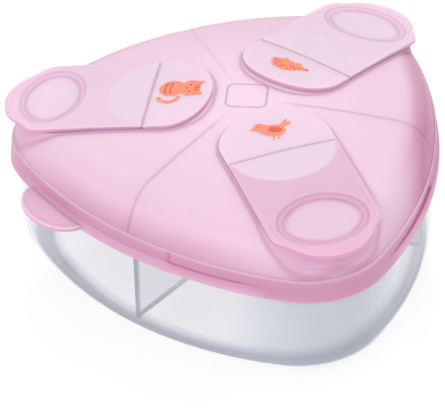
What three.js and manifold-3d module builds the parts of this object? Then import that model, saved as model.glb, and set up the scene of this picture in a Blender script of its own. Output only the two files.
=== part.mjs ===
// Three-chamber milk powder dispenser: a clear rounded-triangle tub, a Y-shaped divider, and a pink
// domed lid with one spout over each corner. Each spout is closed by a tongue: a fixed anchor plate,
// a living hinge and a flap that swings up.
//
// Millimetres, +Z up. The origin is the middle of the flat base. The front corner points to -Y.
import * as THREE from "three";
import { mergeVertices } from "three/addons/utils/BufferGeometryUtils.js";
import Module from "manifold-3d";

// ---- Driving dimensions -------------------------------------------------------------------

// Rounded-triangle outlines: distance from the axis to a corner and to a mid-side, and the
// radius of the corner arc. The sides are arcs that meet the corner arcs smoothly.
const SKIRT_FOOT = { corner: 69.2, side: 54.9, round: 24.4 };
const SKIRT_DRAFT = 0.7; // the skirt leans in by this much from its foot to its top
const SKIRT_FOOT_HEIGHT = 27.0;
const SKIRT_TOP_HEIGHT = 33.6;
const LEDGE = 0.8; // step from the top of the skirt in to the dome

const LID_WALL = 1.2;
const DOME_TOP = 49.4;
const DOME_FALL = 560; // the dome falls by radius^2 / DOME_FALL
const SHOULDER_INSET = 9.5; // the dome turns down this far inside its foot
const DOME_LEAN = 0.25; // run of the dome wall for each unit of its rise

const TUB_WALL = 1.2;
const TUB_FLOOR = 1.5;
const TUB_HEIGHT = 33.2;
const RIM_SEAT = 33.5; // height of the ledge inside the lid that rests on the rim of the tub
const TUB_CLEARANCE = 0.35; // between the rim of the tub and the inside of the skirt
const TUB_FOOT = { corner: 60.5, side: 50.9, round: 27.0 };
const TUB_FILLET_TOP = { corner: 66.4, side: 52.6, round: 23.0 };
const TUB_FILLET = 6.5; // height at which the foot's rounding meets the wall

const DIVIDER_WALL = 1.2;
const DIVIDER_HUB = 2.4; // radius of the round post where the three walls meet
const DIVIDER_CLEARANCE = 0.5;

// Tongues. "out" is the distance from the axis towards the corner, "half" a half width.
const TONGUE_HALF = 16.3;
const TONGUE_INNER_END = 9.9;
const TONGUE_INNER_ROUND = 12.4; // depth of the half-oval inner end
const TONGUE_STRAIGHT = 56.4; // where the straight sides end
const TONGUE_TIP = 70.3;
// From a straight side round to the tip, as cubic curves: two handles and an end, each [out, half].
const TONGUE_END = [
  [[60.6, TONGUE_HALF], [60.9, 15.0], [63.0, 12.9]],
  [[64.2, 11.7], [65.0, 11.4], [65.9, 10.4]],
  [[68.9, 7.4], [TONGUE_TIP, 3.8], [TONGUE_TIP, 0]],
];
const TONGUE_WALL = 1.3;
const TONGUE_TOP = 52.75; // height of the tongues' common surface where it would cross the axis
const TONGUE_SLOPE = 0.1033; // fall of that surface for each unit away from the axis ...
const TONGUE_CURVE = 0.0004; // ... and for each unit squared
const SEAT_GAP = 0.4; // under and around the tongue
const HINGE_OUT = 27.4;
const HINGE_SLOT = 0.75; // from the hinge axis to the edges of plate and flap
const WEB_HALF = 0.45;
const WEB_WALL = 0.4;

// Spouts: a hollow oval platform under each tongue, with an oval mouth that the plug closes.
const PLATFORM_HALF = 16.2;
const PLATFORM_END = 66.4;
const PLATFORM_ROUND = 13.5; // depth of the half-oval outer end
const MOUTH_OUT = 56.3;
const MOUTH = { out: 7.7, half: 11.8 };
const PLUG = { out: 6.9, half: 11.2 };
const PLUG_WALL = 1.2;
const PLUG_DEPTH = 2.6; // below the flap
const DISH = { out: 8.2, half: 12.7 };
const DISH_DEPTH = 0.5;

// Thumb tab on the foot of the skirt, near the left corner.
const TAB_TURN = THREE.MathUtils.degToRad(-89.8); // round from the front corner
const TAB_HALF = 12.3;
const TAB_REACH = 7.7;
const TAB_ROOT = 1.1; // overlap with the skirt
const TAB_WALL = 1.4;

const CORNERS = { front: 0, right: 1, left: 2 }; // thirds of a turn from the front corner

// ---- Materials ------------------------------------------------------------------------------

const plastic = (color, roughness) => new THREE.MeshStandardMaterial({ color, roughness, metalness: 0 });
const CLEAR = plastic(0xe4e8ec, 0.18);
const LID_PINK = plastic(0xe6bfd6, 0.32);
const TONGUE_PINK = plastic(0xecc9df, 0.3);

// ---- Solids -----------------------------------------------------------------------------------

const wasm = await Module();
wasm.setup();

/** A closed three.js geometry as a solid that can be joined and cut. */
function solid(geometry) {
  geometry.deleteAttribute("normal");
  geometry.deleteAttribute("uv");
  const merged = mergeVertices(geometry, 1e-4);
  return new wasm.Manifold(
    new wasm.Mesh({
      numProp: 3,
      vertProperties: new Float32Array(merged.getAttribute("position").array),
      triVerts: new Uint32Array(merged.index.array),
    }),
  );
}

/** A named three.js mesh from a solid. */
function meshOf(name, body, material) {
  const { vertProperties, triVerts } = body.getMesh();
  const geometry = new THREE.BufferGeometry();
  geometry.setAttribute("position", new THREE.BufferAttribute(vertProperties, 3));
  geometry.setIndex(new THREE.BufferAttribute(triVerts, 1));
  geometry.computeVertexNormals();
  const mesh = new THREE.Mesh(geometry, material);
  mesh.name = name;
  return mesh;
}

// Segments for each curve of an outline.
const COARSE = 5;
const FINE = 12;

/** An upright prism of a shape drawn in the out-half plane, turned to one of the corners. */
function prism(shape, corner, bottom, top, curveSegments = COARSE) {
  const options = { depth: top - bottom, bevelEnabled: false, curveSegments };
  const geometry = new THREE.ExtrudeGeometry(shape, options);
  geometry.translate(0, 0, bottom);
  geometry.rotateZ(-Math.PI / 2 + (corner * 2 * Math.PI) / 3);
  return solid(geometry);
}

// ---- Rounded-triangle lofts -------------------------------------------------------------------

const SEGMENTS = 72; // round a loft
const CROWDING = 0.12; // how much closer together the columns of a loft are at the corners

/** Columns of a loft, as angles round from the front corner, closer together at the corners. */
function columnTurn(column) {
  const even = ((column % SEGMENTS) / SEGMENTS) * 2 * Math.PI;
  return even - CROWDING * Math.sin(3 * even);
}

/** Angle from the nearest corner, 0 to 60 degrees. */
function fromCorner(turn) {
  const third = (2 * Math.PI) / 3;
  return Math.abs(turn - third * Math.round(turn / third));
}

/** Distance from the axis to a rounded-triangle outline in the direction of a turn. */
function outlineRadius({ corner, side, round }, turn) {
  const cornerCentre = corner - round;
  const cornerAlong = cornerCentre / 2; // measured along the mid-side's direction
  const cornerAcross = cornerCentre * Math.sin(Math.PI / 3);
  const flat = side - round;
  const sideCentre = (cornerCentre ** 2 - flat ** 2) / (2 * (flat - cornerAlong));
  const sideRadius = side + sideCentre;
  const meeting = Math.atan2(cornerAcross, cornerAlong + sideCentre);
  const meetingAlong = sideRadius * Math.cos(meeting) - sideCentre;
  const meetingTurn = Math.atan2(sideRadius * Math.sin(meeting), meetingAlong);
  // Where a ray from the axis leaves a circle whose centre is so far along the ray and across it.
  const leaves = (ahead, across, radius) => ahead + Math.sqrt(radius ** 2 - across ** 2);
  const near = fromCorner(turn);
  const fromSide = Math.PI / 3 - near;
  if (fromSide <= meetingTurn)
    return leaves(-sideCentre * Math.cos(fromSide), sideCentre * Math.sin(fromSide), sideRadius);
  return leaves(cornerCentre * Math.cos(near), cornerCentre * Math.sin(near), round);
}

const inset = (outline, by) => ({
  corner: outline.corner - by,
  side: outline.side - by,
  round: outline.round - by,
});
const between = (a, b, share) => ({
  corner: THREE.MathUtils.lerp(a.corner, b.corner, share),
  side: THREE.MathUtils.lerp(a.side, b.side, share),
  round: THREE.MathUtils.lerp(a.round, b.round, share),
});

/** A ring at one height that follows an outline. */
const levelRing = (outline, height) => (turn) => [outlineRadius(outline, turn), height];
/** The point where a loft starts or ends on the axis. */
const axisPoint = (height) => () => [0, height];

/** A LatheGeometry whose rings are laid out by functions from turn to [radius, height]. */
function loft(rings) {
  const onAxis = (row) => row === 0 || row === rings.length - 1;
  const profile = rings.map((ring, row) => new THREE.Vector2(onAxis(row) ? 0 : 1, row));
  const geometry = new THREE.LatheGeometry(profile, SEGMENTS);
  const position = geometry.getAttribute("position");
  for (let column = 0; column <= SEGMENTS; column++) {
    const turn = columnTurn(column);
    rings.forEach((ring, row) => {
      const [radius, height] = ring(turn);
      const vertex = column * rings.length + row;
      position.setXYZ(vertex, radius * Math.sin(turn), -radius * Math.cos(turn), height);
    });
  }
  return solid(geometry);
}

// ---- Dome and tongue surfaces -------------------------------------------------------------------

const SKIRT_TOP = inset(SKIRT_FOOT, SKIRT_DRAFT);
const DOME_FOOT = inset(SKIRT_TOP, LEDGE);

/** Height of the dome above its shoulder. */
const domeHeight = (radius) => DOME_TOP - radius ** 2 / DOME_FALL;

/** A point of the shoulder, which bends from the dome (share 0) to the dome's foot (share 1). */
function shoulder(turn, share) {
  const footRadius = outlineRadius(DOME_FOOT, turn);
  const startRadius = footRadius - SHOULDER_INSET;
  const startHeight = domeHeight(startRadius);
  const slope = domeHeight(startRadius + 1) - startHeight;
  // The bend's control point is where the dome's tangent meets the leaning wall.
  const run = (SHOULDER_INSET - DOME_LEAN * (startHeight - SKIRT_TOP_HEIGHT)) / (1 + DOME_LEAN * slope);
  const start = new THREE.Vector2(startRadius, startHeight);
  const control = new THREE.Vector2(startRadius + run, startHeight + slope * run);
  const foot = new THREE.Vector2(footRadius, SKIRT_TOP_HEIGHT);
  const bend = new THREE.QuadraticBezierCurve(start, control, foot);
  const tangent = bend.getTangent(share);
  return { point: bend.getPoint(share), normal: new THREE.Vector2(-tangent.y, tangent.x) };
}

const SHOULDER_SHARES = [1, 0.75, 0.5, 0.25, 0];
const DOME_SHARES = [0.7, 0.35];

/** Rings of the dome from its foot to the axis, moved in by a wall and kept above the tub's rim. */
function domeRings(wall) {
  const bend = SHOULDER_SHARES.map((share) => (turn) => {
    const { point, normal } = shoulder(turn, share);
    return [point.x - normal.x * wall, Math.max(point.y - normal.y * wall, RIM_SEAT)];
  });
  const top = DOME_SHARES.map((share) => (turn) => {
    const radius = share * (outlineRadius(DOME_FOOT, turn) - SHOULDER_INSET);
    return [radius, domeHeight(radius) - wall];
  });
  return [...bend, ...top, axisPoint(DOME_TOP - wall)];
}

/** Height of the tongues' top surface at a distance from the axis. */
const tongueHeight = (radius) => TONGUE_TOP - TONGUE_SLOPE * radius - TONGUE_CURVE * radius ** 2;

const TONGUE_RADII = [80, 64, 48, 32, 16];

/** Everything below the tongues' top surface moved down by a drop. */
function underTongues(drop) {
  const round = (radius, height) => () => [radius, height];
  const edge = TONGUE_RADII[0];
  const bottom = [axisPoint(SKIRT_FOOT_HEIGHT), round(edge, SKIRT_FOOT_HEIGHT)];
  const top = TONGUE_RADII.map((radius) => round(radius, tongueHeight(radius) - drop));
  return loft([...bottom, ...top, axisPoint(TONGUE_TOP - drop)]);
}

// ---- Shapes in the out-half plane -------------------------------------------------------------

const QUARTER = Math.PI / 2;

/** Outline of the whole tongue: half-oval inner end, straight sides, and a finger lobe at the tip. */
function tongueShape(grow = 0) {
  const half = TONGUE_HALF + grow;
  const end = [[TONGUE_STRAIGHT, TONGUE_HALF], ...TONGUE_END.flat()];
  const grown = end.map(([out, side]) => [out, side + grow * Math.sign(side)]);
  const mirrored = grown.toReversed().map(([out, side]) => [out, -side]);
  const shape = new THREE.Shape();
  shape.moveTo(TONGUE_STRAIGHT, half);
  for (const points of [grown, mirrored])
    for (let start = 1; start < points.length; start += 3)
      shape.bezierCurveTo(...points.slice(start, start + 3).flat());
  shape.lineTo(HINGE_OUT, -half);
  // The arc runs on from the -half side back round to the +half side.
  const innerCentre = TONGUE_INNER_END + TONGUE_INNER_ROUND;
  shape.absellipse(innerCentre, 0, TONGUE_INNER_ROUND + grow, half, 3 * QUARTER, QUARTER, true);
  return shape;
}

/** Stadium-like outline of the spout platform, moved in by a wall thickness. */
function platformShape(wall, innerEnd) {
  const half = PLATFORM_HALF - wall;
  const shape = new THREE.Shape();
  shape.absellipse(PLATFORM_END - PLATFORM_ROUND - wall, 0, PLATFORM_ROUND, half, -QUARTER, QUARTER);
  shape.absellipse(innerEnd + TONGUE_INNER_ROUND, 0, TONGUE_INNER_ROUND, half, QUARTER, 3 * QUARTER);
  return shape;
}

/** An oval about the middle of the spout's mouth. */
const ovalShape = ({ out, half }, less = 0) =>
  new THREE.Shape().absellipse(MOUTH_OUT, 0, out - less, half - less, 0, 4 * QUARTER);

/** A band across the tongue. */
function bandShape(from, to, half) {
  const shape = new THREE.Shape();
  shape.moveTo(from, -half);
  shape.lineTo(to, -half);
  shape.lineTo(to, half);
  shape.lineTo(from, half);
  return shape;
}

// ---- Pieces -----------------------------------------------------------------------------------

const TUB_RIM = inset(SKIRT_TOP, LID_WALL + TUB_CLEARANCE);
const TUB_MIDDLE = 20; // height of a ring half way between the foot's rounding and the rim

/** Rings of the tub from the edge of its flat foot to its rim, moved in by a wall and up by a floor. */
function tubRings(wall, floor) {
  const fillet = [0, 0.25, 0.5, 0.75, 1].map((share) => {
    const across = Math.sin(share * QUARTER);
    const below = Math.cos(share * QUARTER);
    const outline = between(TUB_FOOT, TUB_FILLET_TOP, across);
    return levelRing(inset(outline, wall * across), TUB_FILLET * (1 - below) + floor * below);
  });
  const middle = levelRing(inset(between(TUB_FILLET_TOP, TUB_RIM, 0.5), wall), TUB_MIDDLE);
  return [...fillet, middle, levelRing(inset(TUB_RIM, wall), TUB_HEIGHT)];
}

function container() {
  const inside = tubRings(TUB_WALL, TUB_FLOOR).reverse();
  return loft([axisPoint(0), ...tubRings(0, 0), ...inside, axisPoint(TUB_FLOOR)]);
}

/** The space inside the tub and under the dome, less the divider's clearance. */
function chamberSpace() {
  const dome = domeRings(LID_WALL + DIVIDER_CLEARANCE);
  const floor = TUB_FLOOR + DIVIDER_CLEARANCE;
  const walls = tubRings(TUB_WALL + DIVIDER_CLEARANCE, floor);
  return loft([axisPoint(floor), ...walls, ...dome]);
}

function divider() {
  const reach = SKIRT_FOOT.side;
  const hub = new THREE.CylinderGeometry(DIVIDER_HUB, DIVIDER_HUB, DOME_TOP, 2 * FINE);
  hub.rotateX(QUARTER);
  hub.translate(0, 0, DOME_TOP / 2);
  let walls = solid(hub);
  for (const corner of Object.values(CORNERS)) {
    const wall = new THREE.BoxGeometry(DIVIDER_WALL, reach, DOME_TOP);
    wall.translate(0, reach / 2, DOME_TOP / 2);
    wall.rotateZ((corner * 2 * Math.PI) / 3);
    walls = walls.add(solid(wall));
  }
  return walls.intersect(chamberSpace());
}

/** Half-oval thumb tab that runs straight out from the foot of the skirt. */
function thumbTab() {
  const point = (turn) => {
    const radius = outlineRadius(SKIRT_FOOT, turn);
    return new THREE.Vector2(radius * Math.sin(turn), -radius * Math.cos(turn));
  };
  const root = point(TAB_TURN);
  const step = 0.01;
  const along = point(TAB_TURN + step).sub(point(TAB_TURN - step)).angle();
  const shape = new THREE.Shape();
  shape.absellipse(-TAB_ROOT, 0, TAB_REACH + TAB_ROOT, TAB_HALF, -QUARTER, QUARTER);
  const options = { depth: TAB_WALL, bevelEnabled: false, curveSegments: FINE };
  const geometry = new THREE.ExtrudeGeometry(shape, options);
  geometry.rotateZ(along - QUARTER);
  geometry.translate(root.x, root.y, SKIRT_FOOT_HEIGHT);
  return solid(geometry);
}

const LOW = SKIRT_TOP_HEIGHT; // below every tongue and platform
const HIGH = TONGUE_TOP + 1; // above them
const INTO_HOLLOW = 3; // how far a spout's throat reaches down into the hollow of the dome

/** Everything inside the lid but the spouts: the inside of the skirt and the hollow of the dome. */
function lidHollow() {
  const below = SKIRT_FOOT_HEIGHT - 1;
  return loft([
    axisPoint(below),
    levelRing(inset(SKIRT_FOOT, LID_WALL), below),
    levelRing(inset(SKIRT_TOP, LID_WALL), RIM_SEAT),
    ...domeRings(LID_WALL),
  ]);
}

function lidShell() {
  let shell = loft([
    axisPoint(SKIRT_FOOT_HEIGHT),
    levelRing(SKIRT_FOOT, SKIRT_FOOT_HEIGHT),
    levelRing(SKIRT_TOP, SKIRT_TOP_HEIGHT),
    ...domeRings(0),
  ]);
  shell = shell.add(thumbTab());
  let hollow = lidHollow();
  const underSeat = underTongues(TONGUE_WALL + SEAT_GAP);
  const underRoof = underTongues(TONGUE_WALL + SEAT_GAP + LID_WALL);
  for (const corner of Object.values(CORNERS)) {
    const platform = prism(platformShape(0, TONGUE_INNER_END), corner, LOW, HIGH);
    const pocket = prism(tongueShape(SEAT_GAP), corner, LOW, HIGH).subtract(underSeat);
    shell = shell.add(platform.intersect(underSeat)).subtract(pocket);
    const throat = prism(platformShape(LID_WALL, 2 * TONGUE_INNER_END), corner, LOW - INTO_HOLLOW, HIGH);
    const mouth = prism(ovalShape(MOUTH), corner, LOW, HIGH, FINE);
    hollow = hollow.add(throat.intersect(underRoof)).add(mouth);
  }
  return shell.subtract(hollow);
}

/** The part of a tongue between two distances from the axis, as thick as a wall. */
function tonguePart(corner, wall, from, to) {
  const sheet = underTongues(0).subtract(underTongues(wall));
  const outline = prism(tongueShape(), corner, LOW, HIGH);
  const band = prism(bandShape(from, to, 2 * TONGUE_HALF), corner, LOW, HIGH);
  return sheet.intersect(outline).intersect(band);
}

const anchorPlate = (corner) => tonguePart(corner, TONGUE_WALL, 0, HINGE_OUT - HINGE_SLOT);
const hingeWeb = (corner) => tonguePart(corner, WEB_WALL, HINGE_OUT - WEB_HALF, HINGE_OUT + WEB_HALF);

/** The flap, with the oval plug below that closes the spout and the shallow dish above it. */
function spoutFlap(corner) {
  const oval = (size, less) => prism(ovalShape(size, less), corner, LOW, HIGH, FINE);
  const plate = tonguePart(corner, TONGUE_WALL, HINGE_OUT + HINGE_SLOT, TONGUE_TIP + 1);
  const aboveDish = oval(DISH).subtract(underTongues(DISH_DEPTH));
  const ring = oval(PLUG).subtract(oval(PLUG, PLUG_WALL));
  const plug = ring.intersect(underTongues(TONGUE_WALL / 2)).subtract(underTongues(TONGUE_WALL + PLUG_DEPTH));
  return plate.add(plug).subtract(aboveDish);
}

// ---- Assembly -----------------------------------------------------------------------------------

const dispenser = new THREE.Group();
dispenser.add(meshOf("container", container(), CLEAR));
dispenser.add(meshOf("divider", divider(), CLEAR));
dispenser.add(meshOf("lid_shell", lidShell(), LID_PINK));
for (const [name, corner] of Object.entries(CORNERS)) {
  dispenser.add(meshOf(`anchor_plate_${name}`, anchorPlate(corner), TONGUE_PINK));
  dispenser.add(meshOf(`hinge_web_${name}`, hingeWeb(corner), TONGUE_PINK));
  dispenser.add(meshOf(`spout_flap_${name}`, spoutFlap(corner), TONGUE_PINK));
}

export default dispenser;
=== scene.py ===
# Looks of the three-chamber milk powder dispenser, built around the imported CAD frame.
#
# Lengths are in millimetres until a mesh is made, and the row frame is the CAD's: +Z up, the front
# corner towards -Y. A "turn" is an angle round the axis from the front corner towards +X. On a
# tongue, "out" is the distance from the axis towards its corner and "side" is across it.
from math import atan2, cos, pi, radians, sin

import bmesh
import bpy
import numpy as np
from mathutils import Matrix, Vector


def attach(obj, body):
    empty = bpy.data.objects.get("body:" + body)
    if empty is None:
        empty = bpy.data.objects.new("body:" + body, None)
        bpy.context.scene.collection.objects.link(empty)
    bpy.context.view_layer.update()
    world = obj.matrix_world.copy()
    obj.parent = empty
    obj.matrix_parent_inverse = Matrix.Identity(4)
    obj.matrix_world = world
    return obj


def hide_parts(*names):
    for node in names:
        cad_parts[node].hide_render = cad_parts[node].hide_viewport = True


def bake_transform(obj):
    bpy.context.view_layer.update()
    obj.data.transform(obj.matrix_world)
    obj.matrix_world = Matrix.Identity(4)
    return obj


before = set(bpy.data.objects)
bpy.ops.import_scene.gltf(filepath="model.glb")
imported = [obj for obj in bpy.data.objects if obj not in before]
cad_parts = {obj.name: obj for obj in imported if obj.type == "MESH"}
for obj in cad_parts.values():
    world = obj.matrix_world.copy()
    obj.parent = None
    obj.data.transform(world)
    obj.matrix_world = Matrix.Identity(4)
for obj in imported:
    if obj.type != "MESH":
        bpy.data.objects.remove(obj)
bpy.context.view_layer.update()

MM = 0.001
THIRD = 2 * pi / 3

# ---- Driving dimensions, the CAD part's own ----

# Rounded-triangle outlines: distance to a corner, distance to a mid-side, radius of the corner arc.
SKIRT_FOOT = (69.2, 54.9, 24.4)
SKIRT_DRAFT = 0.7
SKIRT_FOOT_HEIGHT = 27.0
SKIRT_TOP_HEIGHT = 33.6
LEDGE = 0.8
LID_WALL = 1.2
DOME_TOP = 49.4
DOME_FALL = 560
SHOULDER_INSET = 9.5
DOME_LEAN = 0.25

TUB_WALL = 1.2
TUB_FLOOR = 1.5
TUB_HEIGHT = 33.2
RIM_SEAT = 33.5
TUB_CLEARANCE = 0.35
TUB_FOOT = (60.5, 50.9, 27.0)
TUB_FILLET_TOP = (66.4, 52.6, 23.0)
TUB_FILLET = 6.5

DIVIDER_WALL = 1.2
DIVIDER_HUB = 2.4
DIVIDER_CLEARANCE = 0.5

TONGUE_HALF = 16.3
TONGUE_INNER_END = 9.9
TONGUE_INNER_ROUND = 12.4
TONGUE_STRAIGHT = 56.4
TONGUE_TIP = 70.3
TONGUE_END = [
    [(60.6, TONGUE_HALF), (60.9, 15.0), (63.0, 12.9)],
    [(64.2, 11.7), (65.0, 11.4), (65.9, 10.4)],
    [(68.9, 7.4), (TONGUE_TIP, 3.8), (TONGUE_TIP, 0)],
]
TONGUE_WALL = 1.3
TONGUE_TOP = 52.75
TONGUE_SLOPE = 0.1033
TONGUE_CURVE = 0.0004
SEAT_GAP = 0.4
HINGE_OUT = 27.4

PLATFORM_END = 66.4
PLATFORM_ROUND = 13.5
MOUTH_OUT = 56.3
MOUTH = (7.7, 11.8)
PLUG = (6.9, 11.2)
PLUG_WALL = 1.2
PLUG_DEPTH = 2.6

TAB_TURN = radians(-89.8)
TAB_HALF = 12.3
TAB_REACH = 7.7
TAB_ROOT = 1.1
TAB_WALL = 1.4

# Direction of each corner, as an angle in the XY plane from +X.
CORNERS = {"front": -pi / 2, "right": pi / 6, "left": 5 * pi / 6}

# ---- Rounded-triangle outlines and the dome ----


def inset(sizes, by):
    """An outline or an oval moved in by a distance."""
    return tuple(size - by for size in sizes)


def between(a, b, share):
    """An outline or an oval a share of the way from one to another."""
    return tuple(x + (y - x) * share for x, y in zip(a, b))


def from_corner(turn):
    """Angle from the nearest corner, up to a sixth of a turn."""
    return np.abs(turn - THIRD * np.round(turn / THIRD))


def outline_radius(outline, turn):
    """Distance from the axis to a rounded-triangle outline in the direction of a turn."""
    corner, side, arc = outline
    centre = corner - arc
    flat = side - arc
    side_centre = (centre**2 - flat**2) / (2 * (flat - centre / 2))
    side_radius = side + side_centre
    meeting = atan2(centre * sin(THIRD / 2), centre / 2 + side_centre)
    meeting_turn = atan2(side_radius * sin(meeting), side_radius * cos(meeting) - side_centre)
    near = from_corner(turn)
    from_side = THIRD / 2 - near
    on_side = np.sqrt(side_radius**2 - (side_centre * np.sin(from_side)) ** 2)
    on_side = on_side - side_centre * np.cos(from_side)
    on_corner = np.sqrt(np.maximum(arc**2 - (centre * np.sin(near)) ** 2, 0))
    on_corner = on_corner + centre * np.cos(near)
    return np.where(from_side <= meeting_turn, on_side, on_corner)


SKIRT_TOP = inset(SKIRT_FOOT, SKIRT_DRAFT)
DOME_FOOT = inset(SKIRT_TOP, LEDGE)
TUB_RIM = inset(SKIRT_TOP, LID_WALL + TUB_CLEARANCE)


def smooth_step(start, end, value):
    """A smooth rise from 0 where a value is at the start to 1 where it is at the end."""
    share = np.clip((value - start) / (end - start), 0, 1)
    return share * share * (3 - 2 * share)


def ridge(value, middle, width):
    """1 where a value is at the middle, falling off on both sides over a width."""
    return np.exp(-(((value - middle) / width) ** 2))


def quadratic(start, control, end, share):
    """A share of the way along a quadratic curve."""
    return (1 - share) ** 2 * start + 2 * share * (1 - share) * control + share**2 * end


def dome_height(radius):
    """Height of the dome above its shoulder."""
    return DOME_TOP - radius**2 / DOME_FALL


def shoulder_curve(turn):
    """Start radius and height, the bend's control point, and the foot radius of the shoulder."""
    foot = outline_radius(DOME_FOOT, turn)
    start = foot - SHOULDER_INSET
    height = dome_height(start)
    slope = dome_height(start + 1) - height
    run = (SHOULDER_INSET - DOME_LEAN * (height - SKIRT_TOP_HEIGHT)) / (1 + DOME_LEAN * slope)
    return start, height, start + run, height + slope * run, foot


def shoulder_point(turn, share, wall=0.0):
    """Radius and height on the shoulder, from the dome (share 0) to its foot (share 1)."""
    start, height, bend, bend_height, foot = shoulder_curve(turn)
    radius = quadratic(start, bend, foot, share)
    rise = quadratic(height, bend_height, SKIRT_TOP_HEIGHT, share)
    along = (1 - share) * (bend - start) + share * (foot - bend)
    down = (1 - share) * (bend_height - height) + share * (SKIRT_TOP_HEIGHT - bend_height)
    length = np.hypot(along, down)
    return radius + wall * down / length, rise - wall * along / length


# The dome is three shallow petals that meet in creases over the divider's walls.
CREASE_DEPTH = 0.42
CREASE_WIDTH = 3.4
LINE_DEPTH = 0.16
LINE_HALF = 0.38
CREASE_START = (7.0, 17.0)
# How strong the crease opposite each corner is. The one at the back is only faint.
CREASE_SHARES = {"front": 0.35, "right": 1.0, "left": 1.0}


def crease_share(x, y):
    """How much each place lies in a crease (soft) and in the fine line at its bottom (sharp)."""
    soft = np.zeros_like(x)
    sharp = np.zeros_like(x)
    for name, corner in CORNERS.items():
        away = corner + pi
        along = x * cos(away) + y * sin(away)
        across = np.abs(x * sin(away) - y * cos(away))
        begins = smooth_step(*CREASE_START, along) * CREASE_SHARES[name]
        soft = np.maximum(soft, begins * np.exp(-across / CREASE_WIDTH))
        sharp = np.maximum(sharp, begins * ridge(across, 0, LINE_HALF))
    return soft, sharp


# The blank square panel sunk as a fine outline into the middle of the dome.
PANEL_CENTRE = (0.8, 1.7)
PANEL_HALF = 5.75
PANEL_ROUND = 2.0
PANEL_TURN = radians(-26.6)
PANEL_LINE_HALF = 0.3
PANEL_LINE_DEPTH = 0.22


def panel_share(x, y):
    """How much each place lies in the panel's outline."""
    dx, dy = x - PANEL_CENTRE[0], y - PANEL_CENTRE[1]
    a = np.abs(dx * cos(PANEL_TURN) + dy * sin(PANEL_TURN)) - (PANEL_HALF - PANEL_ROUND)
    b = np.abs(dy * cos(PANEL_TURN) - dx * sin(PANEL_TURN)) - (PANEL_HALF - PANEL_ROUND)
    outside = np.hypot(np.maximum(a, 0), np.maximum(b, 0)) + np.minimum(np.maximum(a, b), 0)
    return ridge(outside, PANEL_ROUND, PANEL_LINE_HALF)


def dome_drop(x, y):
    """How far the creases and the panel's outline lie below the plain dome."""
    soft, sharp = crease_share(x, y)
    return CREASE_DEPTH * soft + LINE_DEPTH * sharp + PANEL_LINE_DEPTH * panel_share(x, y)


def dome_surface(x, y):
    """Height of the dome's outer surface above a place."""
    radius = np.hypot(x, y)
    start, height, bend, bend_height, foot = shoulder_curve(np.arctan2(x, -y))
    a = start - 2 * bend + foot
    b = 2 * (bend - start)
    c = start - np.minimum(radius, foot)
    share = (-b + np.sqrt(np.maximum(b * b - 4 * a * c, 0))) / (2 * a)
    rise = quadratic(height, bend_height, SKIRT_TOP_HEIGHT, np.clip(share, 0, 1))
    return np.where(radius < start, dome_height(radius), rise)


def tongue_height(radius):
    """Height of the tongues' common top surface."""
    return TONGUE_TOP - TONGUE_SLOPE * radius - TONGUE_CURVE * radius**2


# ---- Meshes ----


WELD = 1e-7  # metres
SHARP_ANGLE = radians(50)  # edges that turn by more than this stay crisp


def to_row(corner, out, side):
    """Place in the row frame of a point out towards a corner and to one side."""
    return out * cos(corner) - side * sin(corner), out * sin(corner) + side * cos(corner)


def to_tongue(corner, x, y):
    """How far a place lies out towards a corner, and to one side."""
    return x * cos(corner) + y * sin(corner), y * cos(corner) - x * sin(corner)


def capped(rings):
    """A closed shell from rings, with a pole in the middle of each end."""
    return [rings[0].mean(0, keepdims=True), *rings, rings[-1].mean(0, keepdims=True)]


def join_rings(rings, first_vertex=0):
    """Faces between rings of points. A ring of one point is a pole."""
    faces = []
    start = first_vertex
    for low, high in zip(rings, rings[1:]):
        above = start + len(low)
        count = max(len(low), len(high))
        for k in range(count):
            following = (k + 1) % count
            corners = [start + k, start + following] if len(low) > 1 else [start]
            corners += [above + following, above + k] if len(high) > 1 else [above]
            faces.append(corners)
        start = above
    return faces


def outward_mesh(name, points, faces, weld=0.0):
    """A mesh from lists of points in millimetres, with its faces pointing out."""
    mesh = bpy.data.meshes.new(name)
    mesh.from_pydata((np.vstack(points) * MM).tolist(), [], faces)
    shape = bmesh.new()
    shape.from_mesh(mesh)
    if weld:
        bmesh.ops.remove_doubles(shape, verts=shape.verts, dist=weld)
    bmesh.ops.recalc_face_normals(shape, faces=shape.faces)
    shape.to_mesh(mesh)
    shape.free()
    return mesh


def add_object(name, data):
    """Links a new object with its mesh, camera or light to the scene."""
    made = bpy.data.objects.new(name, data)
    bpy.context.scene.collection.objects.link(made)
    return made


def make_object(name, shells, material):
    """One smooth mesh object from closed shells of rings."""
    points = []
    faces = []
    for rings in shells:
        faces += join_rings(rings, sum(len(p) for p in points))
        points += list(rings)
    mesh = outward_mesh(name, points, faces, WELD)
    mesh.polygons.foreach_set("use_smooth", [True] * len(mesh.polygons))
    mesh.set_sharp_from_angle(angle=SHARP_ANGLE)
    mesh.materials.append(material)
    return add_object(name, mesh)


def apply_modifiers(piece):
    """Replaces a piece's mesh with what its modifiers make of it."""
    shown = piece.evaluated_get(bpy.context.evaluated_depsgraph_get())
    mesh = bpy.data.meshes.new_from_object(shown)
    piece.modifiers.clear()
    piece.data = mesh


def combine(piece, other, operation):
    """Joins another closed piece into a piece, or cuts it out, and removes it."""
    step = piece.modifiers.new("combine", "BOOLEAN")
    step.operation = operation
    step.solver = "EXACT"
    step.object = other
    apply_modifiers(piece)
    bpy.data.objects.remove(other)


def columns(count, corners=0.0, sides=0.0):
    """Turns of a loft's columns, closer together at the corners and at the mid-sides."""
    even = np.arange(count) / count * 2 * pi
    return even - corners * np.sin(3 * even) - sides * np.sin(6 * even)


def ring_points(turn, radius, height):
    """Points of a ring round the axis."""
    flat = np.broadcast_to(radius, turn.shape)
    level = np.broadcast_to(height, turn.shape)
    return np.stack([flat * np.sin(turn), -flat * np.cos(turn), level], 1)


def axis_point(height):
    """A pole on the axis, where a shell of rings starts or ends."""
    return np.array([[0.0, 0.0, height]])


# ---- Materials ----


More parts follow.
